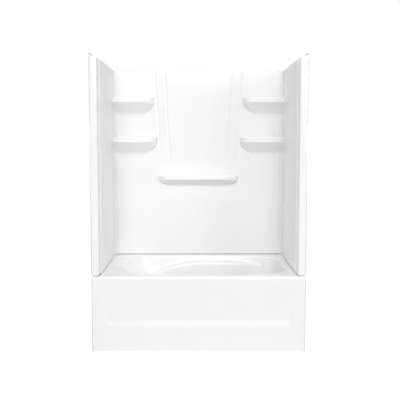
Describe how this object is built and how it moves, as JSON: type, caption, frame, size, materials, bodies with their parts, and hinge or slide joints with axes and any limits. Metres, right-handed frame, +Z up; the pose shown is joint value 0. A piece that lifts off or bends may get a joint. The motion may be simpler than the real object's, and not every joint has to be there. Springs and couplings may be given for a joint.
{
  "type": "tub and shower unit",
  "caption": "White alcove bathtub with an apron, three shower wall panels, corner shelves and a soap shelf, on levelling feet.",
  "frame": {"origin": "on the floor, under the middle of the unit's bounding box", "axes": "+X along the tub towards its drain end, +Y from the open front to the back wall, +Z up"},
  "size_m": [1.524, 0.762, 2.115],
  "materials": {
    "tub_white": "polished",
    "wall_white": "polished",
    "shelf_white": "polished",
    "seal_grey": "matte",
    "support_wood": "raw plywood",
    "rail_plastic": "moulded",
    "foot_steel": "zinc plated"
  },
  "bodies": {
    "root": {"bathtub": "tub_white", "back_wall_panel": "wall_white", "left_end_wall_panel": "wall_white", "right_end_wall_panel": "wall_white", "upper_left_shelf": "shelf_white", "upper_right_shelf": "shelf_white", "lower_left_shelf": "shelf_white", "lower_right_shelf": "shelf_white", "soap_shelf": "shelf_white", "back_base_gasket": "seal_grey", "left_base_gasket": "seal_grey", "right_base_gasket": "seal_grey", "left_corner_gasket": "seal_grey", "right_corner_gasket": "seal_grey", "basin_floor_board": "support_wood", "left_support_rail": "rail_plastic", "right_support_rail": "rail_plastic", "front_left_foot": "foot_steel", "rear_left_foot": "foot_steel", "front_right_foot": "foot_steel", "rear_right_foot": "foot_steel", "front_rim_stringer": "support_wood", "rear_deck_stringer": "support_wood"}
  },
  "joints": []
}
